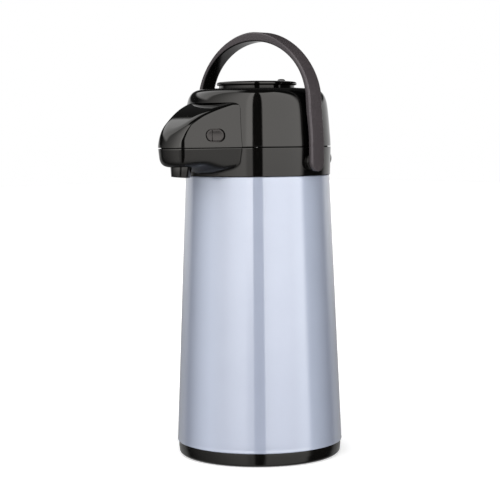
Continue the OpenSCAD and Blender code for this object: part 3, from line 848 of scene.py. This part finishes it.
def lid_edges():
    """the lid's lower edge as (plan angle in degrees, height), and the angles at its top"""
    opening = spout_opening(96)
    foot = math.degrees(opening[0, 0] / OPEN_R) + 0.6
    half = [(angle, LID_Z) for angle in np.linspace(180, foot, 150)]
    half += [(math.degrees(u / OPEN_R), max(z, LID_Z + 0.02)) for u, z in opening]
    half = np.array(half)
    # at the top the angles are even over the front, and as below elsewhere
    top = half[:, 0].copy()
    front = int(np.argmax(top <= 70))
    top[front:] = np.linspace(top[front], 0, len(top) - front)
    edge = np.vstack([half, half[::-1][1:-1] * np.array([-1, 1])])
    return edge, np.r_[top, -top[::-1][1:-1]]


def lid_inner_curve():
    """the outline moved in by the wall, kept clear of the well and under the rim"""
    tangent = np.gradient(lid_curve, axis=0)
    tangent /= np.linalg.norm(tangent, axis=1, keepdims=True)
    inner = lid_curve - LID_WALL * np.stack([tangent[:, 1], -tangent[:, 0]], 1)
    flat = int(np.argmax(lid_curve[:, 0] < 50))
    inner[flat:, 0] = np.maximum(inner[flat:, 0], LID_WELL[-1, 0] + LID_WALL)
    inner[:, 1] = np.minimum(inner[:, 1], 351.05)
    return inner


def lid_shell():
    edge, top_angles = lid_edges()
    rim = int(np.argmax(lid_curve[:, 1] > 352.9))
    start = np.interp(edge[:, 1], lid_curve[:rim, 1], lid_run[:rim])
    columns, rows = len(edge), 120
    curves = (lid_curve, lid_inner_curve())
    points = np.zeros((2, columns, rows, 3))
    for j, v in enumerate(np.linspace(0, 1, rows)):
        s = start + (lid_run[-1] - start) * v
        b = np.clip(v / 0.55, 0, 1)
        b = 0.3 * b + 0.7 * ease(b)
        turn = np.radians(edge[:, 0] * (1 - b) + top_angles * b)
        for skin, curve in enumerate(curves):
            r = np.interp(s, lid_run, curve[:, 0])
            points[skin, :, j, 0] = np.sin(turn) * r
            points[skin, :, j, 1] = -np.cos(turn) * r
            points[skin, :, j, 2] = np.interp(s, lid_run, curve[:, 1])
    inner = columns * rows
    faces = grid_faces(columns, rows, True)
    faces += [face[::-1] for face in grid_faces(columns, rows, True, offset=inner)]
    for i in range(columns):
        # close the lower edge and the foot of the well
        low, low_next = i * rows, (i + 1) % columns * rows
        top, top_next = low + rows - 1, low_next + rows - 1
        faces.append((low, inner + low, inner + low_next, low_next))
        faces.append((top, top_next, inner + top_next, inner + top))
    shell = make("lid_skin", points, faces, HEAD, 35)
    bevel(shell, 0.3, limit=55)
    return shell


def build_lid():
    parts = [lid_shell()]
    for side in (-1, 1):
        # outer hinge knuckle and the arm that carries it
        x0, x1 = sorted((side * 14.1, side * 27.0))
        parts.append(drum(x0, x1, HINGE_R, HINGE_Y, HINGE_Z, chamfer=0.7, bore=2.06))
        parts.append(slab((x0 + 0.2, 63.9, HINGE_Z - 1), (x1 - 0.2, 68.4, 300.6), 0.6))
    place(join("lid_dome", parts), "lid", "head_plastic", "lid_shell")


# ------------------------------------------------------------------ press button and lock
# radius, height from BUTTON_Z: across the top and round the rolled rim
button_top = catmull([(r, BUTTON_Z + z) for r, z in [
    (0.0, 0.6), (8, 0.58), (15, 0.5), (25, 0.25), (31, 0.0), (34.5, -0.3), (36.9, -0.7),
    (37.8, -1.1), (38.3, -1.7), (38.45, -2.4), (38.4, -3.0), (38.1, -3.5), (37.4, -3.75),
    (36.7, -3.85), (36.3, -4.1), (36.2, -4.6)]], 90)


def build_button():
    ceiling = BUTTON_Z - 3.6
    below = [  # radius, height: skirt, underside, hollow stem
        (36.2, 350), (36.2, 334.3), (35.9, 334.0), (34.5, 334.0), (34.2, 334.3), (34.2, 350),
        (34.2, BUTTON_Z - 6.0), (33.0, BUTTON_Z - 4.6), (28.0, BUTTON_Z - 4.3),
        (26.0, ceiling), (12.1, ceiling), (11.9, BUTTON_Z - 3.8), (11.9, 338.8), (9.9, 338.8),
        (9.9, ceiling), (0.0, ceiling)]
    button = revolve("press_button", np.vstack([button_top, below]), HEAD, 224, closed=False)
    # slot for the lock's neck, and a window in the skirt for its plate
    cut(button, slab((-1.7, 29.4, BUTTON_Z - 6.5), (1.7, 37.6, BUTTON_Z + 3), 0.3))
    cut(button, slab((-4.3, 33, 353.4), (4.3, 42, 355.4), 0.3))
    shade(button, 32)
    place(button, "button", "head_plastic", "pump_button")


def build_lock():
    """low ribbed slider near the rear edge of the button"""
    knob_y = 34.1
    outline = catmull([(0.0, 2.95), (1.8, 2.9), (2.9, 2.6), (3.6, 1.9), (4.0, 1.0),
                       (4.2, 0.0), (4.2, -0.6)], 24)
    outline = np.vstack([outline, [(4.2, -4.0), (0.0, -4.0)]])
    knob = revolve("knob", outline, LATCH, 64, (0, knob_y, BUTTON_Z), closed=False)
    # the knob's foot follows the button's top
    top = button_top[button_top[:, 1] > BUTTON_Z - 2.0] + np.array([0, 0.3])
    under = np.vstack([[(0.0, 340.0)], top, [(44, BUTTON_Z - 1.9), (44, 340.0)]])
    cut(knob, revolve("under", under, HEAD, 128, closed=False))
    for i in range(-1, 2):
        y = knob_y + i * 1.7
        cut(knob, slab((-6, y - 0.28, BUTTON_Z + 2.5), (6, y + 0.28, BUTTON_Z + 6), 0.1, LATCH))
    shade(knob, 30)
    neck = slab((-1.3, 29.7, BUTTON_Z - 5.4), (1.3, 33.3, BUTTON_Z + 1.0), 0.3, LATCH)
    plate = slab((-3.9, 28.6, 353.7), (3.9, 37.6, 355.2), 0.3, LATCH)
    place(join("lock_knob", [knob, neck, plate]), "lock", "latch_plastic", "lock_slider")


# ------------------------------------------------------------------ bellows and return spring
def shorten_with_button(piece):
    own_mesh(piece)


def build_bellows():
    low, high, folds, wall = 300.8, 336.0, 6, 1.1
    bore, outer_r, fold_depth = 12.8, 32.0, 5.0
    pitch = (high - low - 2 * wall) / folds
    wave = [(outer_r - fold_depth * (0.5 - 0.5 * math.cos(2 * math.pi * t)) ** 0.8,
             low + wall + pitch * (k + t))
            for k in range(folds) for t in np.linspace(0, 1, 14, endpoint=False)]
    wave.append((outer_r, high - wall))
    outline = [(bore, low), (31.6, low), (outer_r, low + 0.4)] + wave
    outline += [(outer_r, high - 0.4), (31.6, high), (bore, high), (bore, high - wall),
                (30.8, high - wall - 0.05)]
    outline += [(r - wall * 1.1, z) for r, z in wave[::-1][1:-1]]
    outline += [(30.8, low + wall + 0.05), (bore, low + wall)]
    bellows = revolve("bellows_fold", outline, MAT["bellows_rubber"], 128, angle=50)
    place(bellows, "lid", "bellows_rubber", "bellows")
    shorten_with_button(bellows)


def build_spring():
    turns, steps_per_turn, coil_r, wire_r, sides = 6.0, 40, 10.4, 0.88, 14
    low, high = 300.9 + wire_r, 335.8 - wire_r
    steps = int(turns * steps_per_turn)
    points = []
    for i in range(steps + 1):
        t = i / steps
        # the end turns lie nearly flat
        rise = np.interp(t * turns, [0, 0.8, turns - 0.8, turns], [0, 0.045, 0.955, 1.0])
        turn = 2 * math.pi * turns * t
        for k in range(sides):
            q = 2 * math.pi * k / sides
            r = coil_r + wire_r * math.cos(q)
            points.append((r * math.cos(turn), r * math.sin(turn),
                           low + (high - low) * rise + wire_r * math.sin(q)))
    spring = make("button_spring", points, tube_faces(steps + 1, sides), MAT["steel"], 40)
    place(spring, "lid", "steel", "return_spring")
    shorten_with_button(spring)


# ------------------------------------------------------------------ handle
HANDLE_HALF_W, HANDLE_TOP, BAND_W = 78.7, 406.9, 17.5
LEG_T, SHOULDER_T, GRIP_T = 4.9, 5.7, 8.8   # thickness of the leg, arch foot and grip
LEG_LEAN = 2.9                              # the leg leans out by this much towards its foot
ARCH_Z = 341.5                              # where the legs pass into the arch


def handle_outlines():
    """outer and inner outlines (x, z) from the +X foot over the top, in matching points"""
    a = np.radians(np.linspace(0, 90, 200))
    arch_w = HANDLE_HALF_W - LEG_LEAN

    def arch(half_width, top, power):
        return np.stack([half_width * np.cos(a) ** (2 / power),
                         ARCH_Z + (top - ARCH_Z) * np.sin(a) ** (2 / power)], 1)

    z = np.linspace(PIVOT_Z - BAND_W / 2, ARCH_Z - 0.5, 120)
    leg_outer = np.stack([arch_w + LEG_LEAN * ease((ARCH_Z - z) / 40), z], 1)
    thickness = LEG_T + (SHOULDER_T - LEG_T) * ease((z - 305) / 30)
    leg_inner = leg_outer - np.stack([thickness, 0 * z], 1)
    halves = (np.vstack([leg_outer, arch(arch_w, HANDLE_TOP, 1.84)]),
              np.vstack([leg_inner, arch(arch_w - SHOULDER_T, HANDLE_TOP - GRIP_T, 2.02)]))
    outer, inner = (np.vstack([P, P[::-1][1:] * np.array([-1, 1])]) for P in halves)
    # both are sampled by the outer one's length, so that their points pair up
    run = lengths(outer)
    at = np.linspace(0, run[-1], 900)
    outer, inner = (blur(interp_columns(at, run, P), 150) for P in (outer, inner))
    # bring the tops back to height after the blur
    for P, top, span in ((outer, HANDLE_TOP, 50), (inner, HANDLE_TOP - GRIP_T, 45)):
        P[:, 1] += (top - P[:, 1].max()) * ease((P[:, 1] - 350) / span)
    return outer, inner


def build_handle():
    outer, inner = handle_outlines()
    last = len(outer) - 1
    # sections along the outline; closer together in the round ends of the legs
    end = 0.0166
    crowd = (1 - np.cos(np.linspace(0, math.pi / 2, 26))) * end
    stations = np.concatenate([crowd, np.linspace(end, 1 - end, 260)[1:-1], 1 - crowd[::-1]])
    corner_r, corner_points, crown_height = 1.7, 11, 0.35
    corners = ((1, 1, 0), (0, 1, 90), (0, 0, 180), (1, 0, 270))  # outer?, +Y?, first angle
    points = []
    for u in stations:
        k = u * last
        i = min(int(k), last - 1)
        share = k - i
        out = outer[i] * (1 - share) + outer[i + 1] * share
        into = inner[i] * (1 - share) + inner[i + 1] * share
        half = BAND_W / 2
        if out[1] < PIVOT_Z:
            half = math.sqrt(max((BAND_W / 2) ** 2 - (PIVOT_Z - out[1]) ** 2, 0.0))
        thick = float(np.linalg.norm(out - into))
        r = min(corner_r, half * 0.98 + 1e-4, thick / 2 * 0.98)
        direction = (out - into) / thick
        for is_outer, is_far, first in corners:
            for q in range(corner_points):
                angle = math.radians(first + 90 * q / (corner_points - 1))
                across = (thick - r if is_outer else r) + r * math.cos(angle)
                y = (half - r if is_far else -(half - r)) + r * math.sin(angle)
                crown = crown_height * (1 - (y / half) ** 2) if half > 0.5 else 0
                across += crown * (across / thick - 0.5)
                x, z = into + direction * across
                points.append((x, PIVOT_Y + y, z))
    size, count = corner_points * 4, len(stations)
    faces = grid_faces(count, size, False, True)
    faces.append(tuple(range(size)))
    faces.append(tuple(range((count - 1) * size, count * size))[::-1])
    handle = make("carry_handle", points, faces, MAT["handle_plastic"], 35)
    place(handle, "handle", "handle_plastic", "handle")


# ------------------------------------------------------------------ floor, world, camera
CAMERA_TURN = math.radians(45.0)   # the camera stands this far round from -Y towards +X
RIGHT = Vector((math.cos(CAMERA_TURN), math.sin(CAMERA_TURN), 0))
BACK = Vector((math.sin(CAMERA_TURN), -math.cos(CAMERA_TURN), 0))   # from jug to camera


def build_floor():
    half = 6.0   # metres
    mesh = bpy.data.meshes.new("floor")
    corners = [(-half, -half, 0), (half, -half, 0), (half, half, 0), (-half, half, 0)]
    mesh.from_pydata(corners, [], [(0, 1, 2, 3)])
    floor = bpy.data.objects.new("floor", mesh)
    coll.objects.link(floor)
    g, shader = material("floor_pale")
    cloud = g.noise(g.coords(), scale=3.0)
    # a glow for camera rays only keeps the floor as pale as the backdrop
    camera_ray, glow = g.node("LightPath").outputs["Is Camera Ray"], 0.45
    g.fill(shader, {"Base Color": g.mix(cloud, (0.90, 0.90, 0.90), (0.93, 0.93, 0.93)),
                    "Roughness": 0.8, "Specular IOR Level": 0.1,
                    "Emission Color": (1, 1, 1, 1),
                    "Emission Strength": g.mul(camera_ray, glow)})
    mesh.materials.append(MAT["floor_pale"])
    floor.visible_glossy = False


def build_world():
    """light panels painted on the world; the camera itself sees plain white"""
    world = bpy.data.worlds.new("studio")
    scene.world = world
    world.use_nodes = True
    g = Graph(world.node_tree)
    out = g.node("OutputWorld")
    background = g.node("Background", {"Color": (1, 1, 1, 1)})
    g.fill(out, {0: background.outputs[0]})
    view = g.coords("Generated")

    def dot(axis):
        node = g.node("VectorMath", {0: view, 1: axis}, operation="DOT_PRODUCT")
        return node.outputs["Value"]

    def window(source, start, end, fade_in, fade_out):
        return g.mul(g.ramp(source, at=(start - fade_in / 2, start + fade_in / 2)),
                     g.ramp(source, at=(end - fade_out / 2, end + fade_out / 2), to=(1, 0)))

    # degrees: azimuth is 0 towards the camera and grows to its right
    azimuth = g.math("DEGREES", g.math("ARCTAN2", dot(RIGHT), dot(BACK)))
    elevation = g.math("DEGREES", g.math("ARCSINE", dot((0, 0, 1))))

    def panel(across, upward):
        """each range is start, end, fade at the start, fade at the end"""
        return g.mul(window(azimuth, *across), window(elevation, *upward))

    panel_rise = (-95, 73, 6, 5)
    right = panel((8.0, 74, 1.6, 11), panel_rise)
    left = panel((-104, -7.6, 40, 1.6), panel_rise)
    over_left = panel((-157, -97, 3, 12), (24, 73, 6, 5))
    behind = g.mul(g.ramp(g.math("ABSOLUTE", azimuth), at=(118, 135)),
                   g.mul(g.ramp(elevation, at=(7, 12), to=(1, 0)),
                         g.ramp(elevation, at=(-7, -1), to=(0.42, 1.0))))
    low_fade = g.mul(g.ramp(elevation, at=(-14, 2), to=(0.4, 1.0)),
                     g.ramp(elevation, at=(-70, -20), to=(0.6, 1.0)))
    # the left panel brightens towards the camera; its near strip is dim low and bright high
    strip = g.mul(g.ramp(azimuth, at=(-20, -15)), g.ramp(elevation, at=(-4, 3), to=(-0.3, 0.28)))
    left_fade = g.mul(g.ramp(azimuth, at=(-100, -18), to=(0.25, 1.0)), g.add(1.0, strip))

    panel_light, over_light, behind_light, ambient = 2.3, 1.35, 0.8, 0.03
    light = g.add(g.mul(right, panel_light), g.mul(g.mul(left, left_fade), panel_light))
    light = g.add(light, g.mul(over_left, over_light))
    light = g.mul(light, low_fade)
    light = g.add(light, g.mul(behind, behind_light))
    light = g.add(light, ambient)
    camera_ray, seen_white = g.node("LightPath").outputs["Is Camera Ray"], 1.0
    strength = g.add(g.mul(light, g.sub(1.0, camera_ray)), g.mul(camera_ray, seen_white))
    g.fill(background, {"Strength": strength})


def build_camera():
    distance, height, shift = 1500.1, 314.3, -7.9
    pitch, roll = math.radians(4.45), math.radians(0.51)   # downwards; about the view axis
    camera = bpy.data.cameras.new("cam")
    camera_object = bpy.data.objects.new("cam", camera)
    coll.objects.link(camera_object)
    camera.sensor_width = 36
    camera.sensor_fit = "HORIZONTAL"
    camera.lens = 111.672
    position = (BACK * distance + RIGHT * shift) * MM + Vector((0, 0, height * MM))
    forward = -BACK * math.cos(pitch) + Vector((0, 0, -1)) * math.sin(pitch)
    up = -BACK * math.sin(pitch) + Vector((0, 0, 1)) * math.cos(pitch)
    axes = Matrix((RIGHT, up, -forward)).transposed().to_4x4()
    camera_object.matrix_world = (Matrix.Translation(position) @ axes
                                  @ Matrix.Rotation(-roll, 4, "Z"))
    scene.camera = camera_object


# ------------------------------------------------------------------ build
build_base_ring()
build_sleeve()
build_collar()
build_nozzle()
build_spout_cover()
build_latch(1, "right")
build_latch(-1, "left")
build_lid()
build_button()
build_lock()
build_bellows()
build_spring()
build_handle()
build_floor()
build_world()
scene.view_settings.view_transform = "Standard"
scene.view_settings.look = "None"
scene.view_settings.exposure = 0.0
build_camera()
